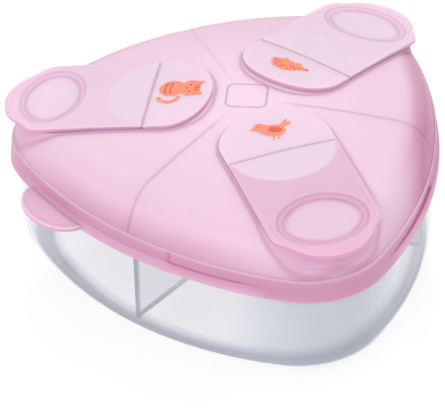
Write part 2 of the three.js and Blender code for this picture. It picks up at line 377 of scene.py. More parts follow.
def linear(red, green, blue):
    """A colour given in 0 to 255 sRGB steps, as the linear colour that shaders use."""

    def channel(step):
        share = step / 255
        return share / 12.92 if share <= 0.04045 else ((share + 0.055) / 1.055) ** 2.4

    return (channel(red), channel(green), channel(blue), 1.0)


WHITE = (1, 1, 1, 1)


def new_material(name):
    """A material, its node tree and its main shader."""
    material = bpy.data.materials.new(name)
    material.use_nodes = True
    return material, material.node_tree, material.node_tree.nodes["Principled BSDF"]


def feed(node, values):
    """Sets a node's inputs by name or place: to a constant, or by a link from an output."""
    for key, value in values.items():
        if isinstance(value, bpy.types.NodeSocket):
            node.id_data.links.new(value, node.inputs[key])
        else:
            node.inputs[key].default_value = value


def add_node(tree, kind, values=None, **settings):
    """A new shader node with its settings and inputs."""
    node = tree.nodes.new("ShaderNode" + kind)
    for key, value in settings.items():
        setattr(node, key, value)
    feed(node, values or {})
    return node


def colour_mix(tree, share, a, b):
    """A mix of two colours by a share."""
    mix = add_node(tree, "Mix", {"Factor": share, "A": a, "B": b}, data_type="RGBA")
    return mix.outputs["Result"]


def remap(tree, value, source, target, **settings):
    """A value taken from one range to another."""
    ends = dict(zip(("From Min", "From Max", "To Min", "To Max"), (*source, *target)))
    return add_node(tree, "MapRange", {"Value": value, **ends}, **settings).outputs["Result"]


def noise_over(tree, scale, detail=2.0):
    """Noise fixed to a piece's own coordinates."""
    place = add_node(tree, "TexCoord").outputs["Object"]
    values = {"Vector": place, "Scale": scale, "Detail": detail}
    return add_node(tree, "TexNoise", values).outputs["Fac"]


def moulded(tree, grain, strength, distance, gloss_scale, gloss):
    """Shader inputs for a moulded surface: fine grain, and slow unevenness between two roughnesses."""
    bump = {"Strength": strength, "Distance": distance, "Height": noise_over(tree, grain, 3.0)}
    return {
        "Normal": add_node(tree, "Bump", bump).outputs["Normal"],
        "Roughness": remap(tree, noise_over(tree, gloss_scale), (0, 1), gloss),
    }


def painted_shade_share(tree):
    """The mesh attribute "depth", a painted shade from 0 to 1."""
    return add_node(tree, "Attribute", attribute_name="depth").outputs["Fac"]


# Painted shade: how far a surface's normal points up, where milky pink turns from its level colour to
# its deeper steep colour, which stands in for light crossing more plastic on steep faces.
SLOPE_SHADE_RUN = (0.42, 0.0)


def milky_pink(name, level, steep_shade, deep_shade, scatter=0.5):
    """Translucent pink plastic: pale where it lies flat, with a painted shade of deeper pink on steep
    faces, where light crosses more of it.

    The mesh attribute "depth" paints further shade in grooves, under edges and towards the rim.
    """
    material, tree, shader = new_material(name)
    normal = add_node(tree, "NewGeometry").outputs["Normal"]
    height = add_node(tree, "SeparateXYZ", {"Vector": normal}).outputs["Z"]
    upright = remap(tree, height, SLOPE_SHADE_RUN, (0, 1), interpolation_type="SMOOTHSTEP")
    # Painted shade: steep faces take the steep colour, and the depth attribute mixes in the deep
    # colour.
    shaded_by_slope = colour_mix(tree, upright, level, steep_shade)
    inputs = {
        "Base Color": colour_mix(tree, painted_shade_share(tree), shaded_by_slope, deep_shade),
        "IOR": 1.49,
        "Specular IOR Level": 0.22,
        "Subsurface Weight": scatter,
        "Subsurface Radius": (1.0, 0.55, 0.75),
        "Subsurface Scale": 0.004,
    }
    feed(shader, inputs)
    feed(shader, moulded(tree, 900, 0.25, 0.00002, gloss_scale=60, gloss=(0.27, 0.36)))
    return material


OPEN_AIR = linear(254, 254, 255)
CLEAR_FACE = linear(236, 240, 246)
# The edge colour is a painted shade: the grey of clear plastic seen edge on.
CLEAR_EDGE_SHADE = linear(146, 156, 174)
TURNED_RUN = (0.42, 0.95)  # of the layer weight's facing, from face on to turned away


def clear_plastic(name, milk, turned_milk, painted_edge_milk):
    """Clear thin-walled polypropylene: see-through face on, glossy and milky where it turns away.

    Where the mesh attribute "depth" is 1 the plastic is seen edge on, and a painted shade makes it
    greyer and denser.
    """
    material, tree, shader = new_material(name)
    depth = painted_shade_share(tree)
    feed(shader, {"IOR": 1.5, "Base Color": colour_mix(tree, depth, CLEAR_FACE, CLEAR_EDGE_SHADE)})
    feed(shader, moulded(tree, 40, 0.1, 0.00004, gloss_scale=30, gloss=(0.06, 0.14)))
    facing = add_node(tree, "LayerWeight", {"Blend": 0.5}).outputs["Facing"]
    turned = remap(tree, facing, TURNED_RUN, (milk, turned_milk))
    # Painted shade where the plastic is seen edge on.
    painted_edge = add_node(tree, "Math", {0: depth, 1: painted_edge_milk}, operation="MULTIPLY")
    most = add_node(tree, "Math", {0: turned, 1: painted_edge.outputs["Value"]}, operation="MAXIMUM")
    open_air = add_node(tree, "BsdfTransparent", {"Color": OPEN_AIR}).outputs["BSDF"]
    sides = {"Fac": most.outputs["Value"], 1: open_air, 2: shader.outputs["BSDF"]}
    blend = add_node(tree, "MixShader", sides)
    feed(tree.nodes["Material Output"], {"Surface": blend.outputs["Shader"]})
    return material


def printed_ink(name, colour):
    """Matte ink with a fine speckle that is a little lighter."""
    material, tree, shader = new_material(name)
    lighter = tuple(min(1.0, channel * 1.12) for channel in colour)
    speckled = colour_mix(tree, noise_over(tree, 1500), colour, lighter)
    feed(shader, {"Base Color": speckled, "Roughness": 0.5})
    return material


# Each pink: its level colour, then the painted shade colours for steep faces and for the depth
# attribute.
LID_PINK = milky_pink("lid_pink", linear(231, 204, 219), linear(209, 165, 189), linear(183, 113, 151))
# Spouts and hinge webs are thin closed shells, in which scattered light would turn grey.
THIN_PINK = milky_pink(
    "thin_pink", linear(228, 198, 216), linear(224, 178, 205), linear(182, 104, 147), scatter=0
)
TONGUE_PINK = milky_pink(
    "tongue_pink", linear(231, 201, 219), linear(212, 166, 192), linear(198, 122, 164)
)
CLEAR = clear_plastic("clear_plastic", milk=0.008, turned_milk=0.36, painted_edge_milk=0.7)
INK = printed_ink("orange_ink", linear(234, 134, 104))
DARK_INK = printed_ink("red_orange_ink", linear(214, 88, 64))


def set_painted_shade(piece, share):
    """Writes the "depth" attribute, a painted shade, of a piece from a function of x, y and z in
    millimetres.
    """
    mesh = piece.data
    place = np.zeros(len(mesh.vertices) * 3)
    mesh.vertices.foreach_get("co", place)
    x, y, z = place.reshape(-1, 3).T / MM
    depth = mesh.attributes.new("depth", "FLOAT", "POINT")
    depth.data.foreach_set("value", np.clip(share(x, y, z), 0, 1).astype(np.float32))


# ---- Tub and divider ----

TUB_TURNS = columns(360, corners=0.12)
ROUNDING = np.linspace(0, 1, 9)
WALL_SHARES = (0.25, 0.5, 0.75, 0.96, 1.0)
BASE_RECESS = 0.5
BASE_RING = 3.0  # width of the ring round the recess, from the edge of the foot
BASE_MIDDLE = inset(TUB_FOOT, BASE_RING + 2.5)
RIM_ROUND = 0.35


def tub_fillet(wall, floor):
    """Rings of the rounded foot of the tub, moved in by a wall and up by a floor."""
    rings = []
    for share in ROUNDING:
        across, below = sin(share * pi / 2), cos(share * pi / 2)
        outline = inset(between(TUB_FOOT, TUB_FILLET_TOP, across), wall * across)
        rings.append((outline, TUB_FILLET * (1 - below) + floor * below))
    return rings


def tub_wall(wall, top):
    """Rings of the upright wall, from above the foot's rounding to a height."""
    rings = []
    for share in WALL_SHARES:
        outline = inset(between(TUB_FILLET_TOP, TUB_RIM, share), wall)
        rings.append((outline, TUB_FILLET + (top - TUB_FILLET) * share))
    return rings


# Painted shade: how grey and dense the tub looks next to its foot, which is 1, and where each grey
# stretch fades.
TUB_CORNER_SHADE = 0.62
TUB_CORNER_FADE = (radians(4), radians(46))  # away from a corner
# The left corner stays clear of painted shade, where the light falls from the left.
TUB_CORNER_START = (radians(-50), radians(-15))  # round from the left corner, which stays clear
TUB_LOW_SHADE = 0.24
TUB_LOW_FADE = (2, 14)
TUB_RIM_SHADE = 0.5
TUB_RIM_START = (TUB_HEIGHT - 0.9, TUB_HEIGHT - 0.4)
TUB_FOOT_FADE = (0.1, 1.3)
TUB_FLOOR_EDGE = (0.9, 0.96)  # shares of the foot's outline, inside which the floor is clear


def tub_painted_shade(x, y, z):
    """Painted shade: greyer and denser round the foot and the rim, a little towards the bottom, and a
    little at the front and right corners, away from the light.
    """
    turn = np.arctan2(x, -y)
    corner = 1 - smooth_step(*TUB_CORNER_FADE, from_corner(turn))
    rounded = TUB_CORNER_SHADE * smooth_step(*TUB_CORNER_START, turn) * corner
    low = TUB_LOW_SHADE * (1 - smooth_step(*TUB_LOW_FADE, z))
    rim = TUB_RIM_SHADE * smooth_step(*TUB_RIM_START, z)
    foot = 1 - smooth_step(*TUB_FOOT_FADE, z)
    reach = np.hypot(x, y) / outline_radius(TUB_FOOT, turn)
    outside = smooth_step(*TUB_FLOOR_EDGE, reach)
    return np.maximum(np.maximum(foot, rim), np.hypot(rounded, low)) * outside


def build_tub():
    """The tub, from its recessed base up the outside, over its rim and down the inside."""
    top, below = TUB_HEIGHT, TUB_HEIGHT - RIM_ROUND
    base = [(BASE_MIDDLE, BASE_RECESS), (inset(TUB_FOOT, BASE_RING), BASE_RECESS)]
    base += [(inset(TUB_FOOT, BASE_RING - 0.6), 0.12), (inset(TUB_FOOT, BASE_RING - 1.2), 0.0)]
    rim = [(inset(TUB_RIM, 0.1), top - 0.1), (inset(TUB_RIM, RIM_ROUND), top)]
    rim.append((inset(TUB_RIM, TUB_WALL - RIM_ROUND), top))
    rim.append((inset(TUB_RIM, TUB_WALL - 0.1), top - 0.1))
    outside = base + tub_fillet(0, 0) + tub_wall(0, below)
    inside = (tub_fillet(TUB_WALL, TUB_FLOOR) + tub_wall(TUB_WALL, below))[::-1]
    inside.append((BASE_MIDDLE, TUB_FLOOR))
    rings = [axis_point(BASE_RECESS)]
    for outline, height in outside + rim + inside:
        rings.append(ring_points(TUB_TURNS, outline_radius(outline, TUB_TURNS), height))
    rings.append(axis_point(TUB_FLOOR))
    tub = make_object("tub", [rings], CLEAR)
    set_painted_shade(tub, tub_painted_shade)
    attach(tub, "tub")
    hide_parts("container")


def divider_outline():
    """Outline of one divider wall, as (reach, height) points from the axis low down to high up."""
    mid_side = np.array([THIRD / 2])
    floor = TUB_FLOOR + DIVIDER_CLEARANCE
    points = [(0.0, floor)]
    inside = TUB_WALL + DIVIDER_CLEARANCE
    for outline, height in tub_fillet(inside, floor) + tub_wall(inside, TUB_HEIGHT):
        points.append((outline_radius(outline, mid_side)[0], height))
    for share in np.linspace(1, 0, 10):
        radius, height = shoulder_point(mid_side, share, LID_WALL + DIVIDER_CLEARANCE)
        points.append((radius[0], max(height[0], RIM_SEAT)))
    start = points[-1][0]
    for share in (0.75, 0.5, 0.25, 0.0):
        height = dome_height(start * share) - LID_WALL - DIVIDER_CLEARANCE
        points.append((start * share, height))
    return points


FAR = 99.0  # more than any distance that is compared with it
POST_FADE = (DIVIDER_HUB + 0.2, DIVIDER_HUB + 1.2)
EDGE_FADE = (0.35, 1.0)


def divider_painted_shade(x, y, z):
    """Painted shade: 1 along the edges of the walls, where the plastic is seen edge on, but not by the
    post.
    """
    outline = np.array(divider_outline())
    reach = np.max([-x * cos(corner) - y * sin(corner) for corner in CORNERS.values()], axis=0)
    nearest = np.full_like(x, FAR)
    for start, end in zip(outline, outline[1:]):
        along = end - start
        share = ((reach - start[0]) * along[0] + (z - start[1]) * along[1]) / (along @ along)
        share = np.clip(share, 0, 1)
        away = np.hypot(reach - start[0] - share * along[0], z - start[1] - share * along[1])
        nearest = np.minimum(nearest, away)
    return smooth_step(*POST_FADE, reach) * (1 - smooth_step(*EDGE_FADE, nearest))


# Rings across a divider wall: share of its outline's size, and side from -1 to 1.
WALL_PROFILE = [(0.94, -1.0), (0.985, -1.0), (1.0, -0.55), (1.0, 0.55), (0.985, 1.0), (0.94, 1.0)]
WALL_MIDDLE = np.array([20.0, 25.0])
POST_ROUND = 0.4


def divider_wall(corner):
    """The wall opposite a corner, as a closed shell with rounded edges."""
    away = corner + pi
    rings = []
    for share, across in WALL_PROFILE:
        ring = []
        for point in divider_outline():
            reach, height = WALL_MIDDLE + (np.array(point) - WALL_MIDDLE) * share
            ring.append((*to_row(away, reach, across * DIVIDER_WALL / 2), height))
        rings.append(np.array(ring))
    return capped(rings)


def build_divider():
    """Three rounded walls and the post where they meet, joined into one body."""
    outline = divider_outline()
    low, high = outline[0][1], outline[-1][1] - 0.05
    around = columns(48)
    post = [axis_point(low), ring_points(around, DIVIDER_HUB, low)]
    post.append(ring_points(around, DIVIDER_HUB, high - POST_ROUND))
    post += [ring_points(around, DIVIDER_HUB - POST_ROUND, high), axis_point(high)]
    divider = make_object("chamber_divider", [post], CLEAR)
    for corner in CORNERS.values():
        combine(divider, make_object("arm", [divider_wall(corner)], CLEAR), "UNION")
    divider.data.set_sharp_from_angle(angle=radians(35))
    set_painted_shade(divider, divider_painted_shade)
    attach(divider, "divider")
    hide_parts("divider")


build_tub()
build_divider()

# ---- Lid ----

LID_TURNS = columns(480, corners=0.05, sides=0.09)


# Two long shallow grips in the skirt, each from its crisp end to where it has faded out. They are
# deepest just above the hem, a slightly thicker band along the foot of each side.
GRIPS = [(radians(-44.7), radians(-14.5)), (radians(50), radians(14.5))]
GRIP_DEPTH = 0.65
GRIP_EDGE = radians(0.5)
GRIP_TOP = SKIRT_TOP_HEIGHT - 0.5
HEM_TOP = 30.2
HEM_STEP = 0.16
HEM_START = radians(14.5)
HEM_FULL = radians(24)


def grip_share(turn):
    """How deep the grips are in the direction of a turn, from 0 to 1."""
    share = np.zeros_like(turn)
    for crisp, faded in GRIPS:
        low, high = min(crisp, faded), max(crisp, faded)
        starts = smooth_step(low, low + GRIP_EDGE, turn)
        ends = 1 - smooth_step(high - GRIP_EDGE, high, turn)
        fading = np.sqrt(np.clip((faded - turn) / (faded - crisp), 0, 1))
        share = np.maximum(share, starts * ends * fading)
    return share


def hem_share(turn):
    """How thick the hem is in the direction of a turn, from 0 at the corners to 1 on the sides."""
    return smooth_step(HEM_START, HEM_FULL, from_corner(turn))


# The skirt's rings from its grips to its foot: height, share of the grips, share of the hem's step.
SKIRT_ROWS = [
    (GRIP_TOP, 0.0, 1.0),
    (HEM_TOP + 1.6, 0.55, 1.0),
    (HEM_TOP + 0.6, 0.9, 1.0),
    (HEM_TOP + 0.25, 1.0, 1.0),
    (HEM_TOP + 0.1, 1.0, 1.0),
    (HEM_TOP, 0.0, 0.0),
    (HEM_TOP - 0.15, 0.0, 0.0),
    (SKIRT_FOOT_HEIGHT + 1.2, 0.0, 0.0),
    (SKIRT_FOOT_HEIGHT + 0.5, 0.0, 0.0),
]


def skirt_rings(turn):
    """Outer rings from the foot of the dome down the ledge, the skirt and its hem."""
    foot = outline_radius(DOME_FOOT, turn)
    top = outline_radius(SKIRT_TOP, turn)
    base = outline_radius(SKIRT_FOOT, turn)
    draft = SKIRT_DRAFT / (SKIRT_TOP_HEIGHT - SKIRT_FOOT_HEIGHT)
    step = HEM_STEP * hem_share(turn)
    grip = GRIP_DEPTH * grip_share(turn)
    high, low = SKIRT_TOP_HEIGHT, SKIRT_FOOT_HEIGHT
    rings = [(foot + 0.12, high - 0.02), (foot + 0.3, high - 0.1), (top - 0.22 - step, high - 0.12)]
    rings += [(top - 0.06 - step, high - 0.2), (top + 0.02 - step, high - 0.38)]
    for height, in_grip, above_hem in SKIRT_ROWS:
        rings.append((top + draft * (high - height) - grip * in_grip - step * above_hem, height))
    rings += [(base, low + 0.25), (base - 0.1, low + 0.07), (base - 0.35, low)]
    rings.append((base - LID_WALL + 0.2, low))
    return [ring_points(turn, radius, height) for radius, height in rings]


def dome_shares():
    """Shares of the flat dome's radius at which rings lie, close together round the square panel."""
    fine = np.linspace(0.05, 0.22, 50)
    coarse = np.linspace(0.22, 1.0, 34)[1:]
    return np.concatenate([[0.02], fine, coarse])


def dome_shell():
    """The lid's dome and skirt as one closed shell of rings."""
    turn = LID_TURNS
    start = shoulder_curve(turn)[0]
    outer = []
    for share in dome_shares():
        outer.append((start * share, dome_height(start * share)))
    outer += [shoulder_point(turn, share) for share in np.linspace(0, 1, 25)[1:]]
    rings = [axis_point(DOME_TOP)]
    for radius, height in outer:
        x, y = radius * np.sin(turn), -radius * np.cos(turn)
        fade = 1 - smooth_step(0.97, 1.0, radius / outline_radius(DOME_FOOT, turn))
        rings.append(ring_points(turn, radius, height - dome_drop(x, y) * fade))
    rings += skirt_rings(turn)
    for outline, height in ((SKIRT_FOOT, SKIRT_FOOT_HEIGHT + 0.2), (SKIRT_TOP, RIM_SEAT)):
        rings.append(ring_points(turn, outline_radius(inset(outline, LID_WALL), turn), height))
    for share in np.linspace(1, 0, 13):
        radius, height = shoulder_point(turn, share, LID_WALL)
        rings.append(ring_points(turn, radius, np.maximum(height, RIM_SEAT)))
    for share in np.linspace(1, 0, 9)[1:-1]:
        rings.append(ring_points(turn, start * share, dome_height(start * share) - LID_WALL))
    rings.append(axis_point(DOME_TOP - LID_WALL))
    return rings


def tongue_ring(corner, plan, height):
    """Points of a ring given by its plan (out, side) and heights, turned to a corner."""
    x, y = to_row(corner, plan[:, 0], plan[:, 1])
    return np.stack([x, y, np.broadcast_to(height, x.shape)], 1)


def arc_points(centre, radii, start, end, count):
    """Points on an oval arc, the last one left out."""
    angles = start + (end - start) * np.arange(count) / count
    return [(centre + radii[0] * cos(a), radii[1] * sin(a)) for a in angles]


def line_points(start, end, count):
    """Points along a straight line, the last one left out."""
    return [between(start, end, share) for share in np.arange(count) / count]


def curve_points(start, handles, end, count):
    """Points on a cubic curve, the last one left out."""
    points = []
    for s in np.arange(count) / count:
        terms = ((1 - s) ** 3, 3 * s * (1 - s) ** 2, 3 * s * s * (1 - s), s**3)
        knots = (start, *handles, end)
        points.append(tuple(sum(t * k[axis] for t, k in zip(terms, knots)) for axis in (0, 1)))
    return points


def offset_plan(plan, by):
    """A closed plan moved outwards by a distance along its normals. It runs anticlockwise."""
    along = np.roll(plan, -1, 0) - np.roll(plan, 1, 0)
    along /= np.linalg.norm(along, axis=1, keepdims=True)
    return plan + by * np.stack([along[:, 1], -along[:, 0]], 1)


def oval_facing(plan, centre, radii):
    """Points of an oval in the same directions from its centre as a plan's points."""
    angle = np.arctan2(plan[:, 1], plan[:, 0] - centre)
    reach = 1 / np.hypot(np.cos(angle) / radii[0], np.sin(angle) / radii[1])
    return np.stack([centre + reach * np.cos(angle), reach * np.sin(angle)], 1)


def blend_plans(a, b, share):
    """A plan a share of the way from one to another."""
    return a + (b - a) * share


PLATFORM_HALF = 16.2
FOOT_FLARE = 1.3
FOOT_NARROWS = (54, 64)  # the flare narrows towards the tip between these distances out
FOOT_SINK = 0.2
# Rings up a platform's wall: share of the flare, share of the height.
FOOT_PROFILE = [(1.0, 0.0), (0.62, 0.06), (0.36, 0.17), (0.2, 0.34), (0.1, 0.55), (0.03, 0.78)]
SEAT_CLEARANCE = 0.08


def platform_plan():
    """Stadium outline of a spout platform at its top."""
    outer = PLATFORM_END - PLATFORM_ROUND
    inner = TONGUE_INNER_END + TONGUE_INNER_ROUND
    half = PLATFORM_HALF
    points = arc_points(outer, (PLATFORM_ROUND, half), -pi / 2, pi / 2, 72)
    points += line_points((outer, half), (inner, half), 36)
    points += arc_points(inner, (TONGUE_INNER_ROUND, half), pi / 2, 3 * pi / 2, 72)
    points += line_points((inner, -half), (outer, -half), 36)
    return np.array(points)


def seat_height(plan):
    """Height of the platform's top, just clear of the dome where the two nearly meet."""
    radius = np.hypot(plan[:, 0], plan[:, 1])
    seat = tongue_height(radius) - TONGUE_WALL - SEAT_GAP
    return np.maximum(seat, dome_height(radius) + SEAT_CLEARANCE)


def platform_shell(corner):
    """A raised hollow spout platform with its mouth, from its flared foot in the dome's skin."""
    plan = platform_plan()
    seat = seat_height(plan)

    def skin(at):
        x, y = to_row(corner, at[:, 0], at[:, 1])
        return dome_surface(x, y)

    rings = []
    spread = FOOT_FLARE * (1 - 0.6 * smooth_step(*FOOT_NARROWS, plan[:, :1]))
    for flare, share in FOOT_PROFILE:
        at = offset_plan(plan, spread * flare)
        low = skin(at)
        sink = FOOT_SINK if share == 0.0 else 0.0
        rings.append((at, low + np.maximum(seat - low, 0) * share - sink))
    low = skin(plan)
    wall_top = np.maximum(seat - 0.45, low + 0.8 * np.maximum(seat - low, 0))
    rings.append((plan, wall_top))
    rings.append((offset_plan(plan, -0.12), np.maximum(seat - 0.13, wall_top)))
    rings.append((offset_plan(plan, -0.45), seat))
    inner_plan = offset_plan(plan, -0.9)
    mouth = oval_facing(plan, MOUTH_OUT, MOUTH)
    for share in np.linspace(0, 0.97, 22):
        at = blend_plans(inner_plan, mouth, share)
        rings.append((at, seat_height(at)))
    mouth_seat = seat_height(mouth)
    rings.append((mouth, mouth_seat - 0.25))
    rings.append((mouth, mouth_seat - LID_WALL + 0.15))
    throat = offset_plan(plan, -LID_WALL)
    for share in np.linspace(0.03, 1, 16):
        at = blend_plans(mouth, throat, share)
        rings.append((at, seat_height(at) - LID_WALL))
    under = skin(throat) - 0.9
    rings.append((throat, np.minimum(seat_height(throat) - LID_WALL, under + 0.02)))
    rings.append((offset_plan(plan, 0.4), skin(offset_plan(plan, 0.4)) - 0.75))
    points = [tongue_ring(corner, at, height) for at, height in rings]
    return points + [points[0]]


def thumb_tab_shell():
    """The half-oval tab that runs straight out from the foot of the skirt."""

    def point(turn):
        radius = float(outline_radius(SKIRT_FOOT, np.array([turn]))[0])
        return np.array([radius * sin(turn), -radius * cos(turn)])

    root = point(TAB_TURN)
    along = point(TAB_TURN + 0.01) - point(TAB_TURN - 0.01)
    facing = atan2(along[1], along[0]) - pi / 2
    plan = arc_points(-TAB_ROOT, (TAB_REACH + TAB_ROOT, TAB_HALF), -pi / 2, pi / 2, 60)
    plan += line_points((-TAB_ROOT, TAB_HALF), (-TAB_ROOT, -TAB_HALF), 24)
    plan = np.array(plan)
    low, high = SKIRT_FOOT_HEIGHT, SKIRT_FOOT_HEIGHT + TAB_WALL
    profile = [(-1.4, low + 0.05), (-0.45, low), (-0.12, low + 0.12), (0.0, low + 0.4)]
    profile += [(0.0, high - 0.4), (-0.12, high - 0.1), (-0.4, high), (-0.9, high)]
    profile += [(-1.3, high - 0.22), (-2.2, high - 0.3)]
    rings = []
    for offset, height in profile:
        at = offset_plan(plan, offset)
        at[:, 0] = np.where(plan[:, 0] <= -TAB_ROOT + 1e-6, -TAB_ROOT, np.maximum(at[:, 0], -TAB_ROOT))
        x = root[0] + at[:, 0] * cos(facing) - at[:, 1] * sin(facing)
        y = root[1] + at[:, 0] * sin(facing) + at[:, 1] * cos(facing)
        rings.append(np.stack([x, y, np.full_like(x, height)], 1))
    middle = np.array([[root[0] + 2 * cos(facing), root[1] + 2 * sin(facing)]])
    bottom = np.append(middle, [[low + 0.05]], axis=1)
    top = np.append(middle, [[high - 0.3]], axis=1)
    return [bottom, *rings, top]


def spout_distance(x, y):
    """Distance outside the nearest spout platform in plan, and 0 within it."""
    nearest = np.full_like(x, FAR)
    inner = TONGUE_INNER_END + PLATFORM_ROUND
    outer = PLATFORM_END - PLATFORM_ROUND
    for corner in CORNERS.values():
        out, side = to_tongue(corner, x, y)
        past = np.maximum(np.maximum(inner - out, out - outer), 0)
        reach = np.hypot(past, np.maximum(np.abs(side) - (PLATFORM_HALF - PLATFORM_ROUND), 0))
        nearest = np.minimum(nearest, np.maximum(reach - PLATFORM_ROUND, 0))
    return nearest


# Light through the box makes its right side and back look deeper. It is painted in by place.
BACK_DEPTH = 1.0
BACK_SKIRT_DEPTH = 0.5
BACK_START = (radians(25), radians(62))  # on the side between the front and right corners
BACK_END = (radians(205), radians(232))  # between the back and the left corner


def back_share(turn):
    """1 from the right side round to past the back, and 0 over the front and the left."""
    turn = turn % (2 * pi)
    return smooth_step(*BACK_START, turn) * (1 - smooth_step(*BACK_END, turn))


# Painted shade on the skirt: deeper above the hem, lighter on the hem, and deeper still in the groove
# over the hem and at the grips' crisp ends.
SKIRT_SHADE = 0.54
HEM_PALER = 0.3
GROOVE_SHADE = {"hem": 0.12, "grip": 0.6}
GRIP_END_SHADE = 0.4


def skirt_painted_shade(turn, z):
    """Painted shade: deeper pink above the hem, in the groove over it and at the crisp ends of the
    grips.
    """
    hem = hem_share(turn)
    groove = GROOVE_SHADE["hem"] * hem + GROOVE_SHADE["grip"] * grip_share(turn)
    depth = np.where(z > HEM_TOP - 0.05, SKIRT_SHADE, SKIRT_SHADE - HEM_PALER * hem)
    depth = depth + groove * ridge(z, HEM_TOP + 0.1, 0.3)
    for crisp, _ in GRIPS:
        depth = depth + np.where(z > HEM_TOP, GRIP_END_SHADE, 0) * ridge(turn, crisp, GRIP_EDGE)
    return depth + BACK_SKIRT_DEPTH * back_share(turn)


# Shares of the dome's radius between which a painted shade deepens its pink.
DOME_RUN = (0.15, 0.75)
# The rim's painted shade deepens over these shares of the radius, and away from the corners.
RIM_RUN = (0.94, 1.0)
BACK_RUN = (0.82, 1.0)
RIM_SIDES = (radians(12), radians(42))  # away from a corner, where the rim gets deeper
PANEL_HEIGHTS = (46, 47)  # the panel's outline is only on top of the dome
# Painted shade on the ledge, where it lies in shadow.
LEDGE_SHADE = 0.32


def lid_painted_shade(x, y, z):
    """Painted shade: deeper pink towards the rim, on the skirt, round the spouts and in creases and
    fine lines.
    """
    turn = np.arctan2(x, -y)
    reach = np.hypot(x, y) / outline_radius(DOME_FOOT, turn)
    rim = 0.1 + 0.24 * smooth_step(*RIM_SIDES, from_corner(turn))
    dome = 0.16 * smooth_step(*DOME_RUN, reach) + rim * smooth_step(*RIM_RUN, reach)
    dome = dome + BACK_DEPTH * back_share(turn) * smooth_step(*BACK_RUN, reach)
    # Painted shade round the foot of each spout.
    dome = dome + 0.35 * ridge(spout_distance(x, y), 0.7, 0.5)
    soft, sharp = crease_share(x, y)
    panel = panel_share(x, y) * smooth_step(*PANEL_HEIGHTS, z)
    # Painted shade in the creases and in the panel's outline.
    dome = dome + 0.06 * soft + 0.3 * sharp + 0.6 * panel
    ledge = np.where(reach > 1.001, LEDGE_SHADE, dome)
    return np.where(z > SKIRT_TOP_HEIGHT - 0.15, ledge, skirt_painted_shade(turn, z))


def throat_cutter(corner):
    """The hollow under a platform, as a closed body that reaches through the dome."""
    plan = offset_plan(platform_plan(), -0.7)
    rings = [tongue_ring(corner, plan, height) for height in (SKIRT_TOP_HEIGHT + 1.5, DOME_TOP + 5)]
    return make_object("throat", [capped(rings)], LID_PINK)


def build_lid():
    """The dome with its skirt, and the spouts and the tab, whose feet are sunk into it."""
    dome = make_object("domed_lid", [dome_shell()], LID_PINK)
    pieces = [dome, make_object("thumb_tab", [thumb_tab_shell()], LID_PINK)]
    for name, corner in CORNERS.items():
        combine(dome, throat_cutter(corner), "DIFFERENCE")
        pieces.append(make_object(f"spout_{name}", [platform_shell(corner)], THIN_PINK))
    dome.data.set_sharp_from_angle(angle=radians(50))
    for piece in pieces:
        set_painted_shade(piece, lid_painted_shade)
        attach(piece, "lid")
        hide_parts("lid_shell")


build_lid()

# ---- Tongues ----

HINGE_GAP = 0.3
BEVEL_START = HINGE_OUT - 3.4
BEVEL_DROP = 0.28
CRESCENT = (12.0, 15.4)
CRESCENT_DROP = 0.2
LIP_DROP = 0.2  # a flap is thicker by this at its free end than by its hinge, close to its seat
LIP_RUN = (44, 52)
# A raised bead round a flap's free end, which dies out along its straight sides.
BEAD_HEIGHT = 0.42
BEAD_START = 0.4
BEAD_WIDTH = 1.5
BEAD_RINGS = (0.6, 0.8, 1.0, 1.2, 1.4, 1.6, 1.8)
BEAD_RUN = (40, 52)
DISH_OUTER = (9.6, 13.3)
DISH_INNER = (7.5, 11.3)
DISH_DEPTH = 0.75
# The dish goes down in two small steps with a sloping band between: share of the way in from its
# outer to its inner oval, share of its depth.
DISH_STEPS = [(0, 0), (0.05, 0.04), (0.12, 0.22), (0.2, 0.3), (0.45, 0.4), (0.72, 0.5), (0.8, 0.58)]
DISH_STEPS += [(0.9, 0.88), (0.96, 0.98), (1.0, 1.0)]


def flap_end(knots):
    """Points along the curves of the lobe, on one side of a flap."""
    points = []
    for start in range(0, len(knots) - 1, 3):
        points += curve_points(knots[start], knots[start + 1 : start + 3], knots[start + 3], 14)
    return points


def flap_plan():
    """Outline of a flap, from its hinge edge round the finger lobe."""
    edge = HINGE_OUT + HINGE_GAP
    half = TONGUE_HALF
    knots = [(TONGUE_STRAIGHT, half)] + [knot for curve in TONGUE_END for knot in curve]
    points = line_points((edge, half), (edge, -half), 36)
    points += line_points((edge, -half), (TONGUE_STRAIGHT, -half), 34)
    points += flap_end([(out, -side) for out, side in knots]) + flap_end(knots[::-1])
    points += line_points((TONGUE_STRAIGHT, half), (edge, half), 34)
    return np.array(points)


def plate_plan():
    """Outline of an anchor plate: a half oval with its straight edge along the hinge."""
    edge = HINGE_OUT - HINGE_GAP
    half = TONGUE_HALF
    centre = TONGUE_INNER_END + TONGUE_INNER_ROUND
    points = line_points((edge, -half), (edge, half), 40)
    points += line_points((edge, half), (centre, half), 8)
    points += arc_points(centre, (TONGUE_INNER_ROUND, half), pi / 2, 3 * pi / 2, 96)
    points += line_points((centre, -half), (edge, -half), 8)
    return np.array(points)


def inset_plan(plan, by, edge, straight):
    """A flap's or plate's plan moved inwards. It is square from its hinge edge to the straight end."""
    length = straight - edge
    inwards = by if length > 0 else -by
    square_out = edge + inwards + (plan[:, 0] - edge) * (1 - by / abs(length))
    square_side = plan[:, 1] * (TONGUE_HALF - by) / TONGUE_HALF
    square = np.stack([square_out, square_side], 1)
    in_square = (plan[:, 0] - edge) / length < 1.001
    return np.where(in_square[:, None], square, offset_plan(plan, -by))


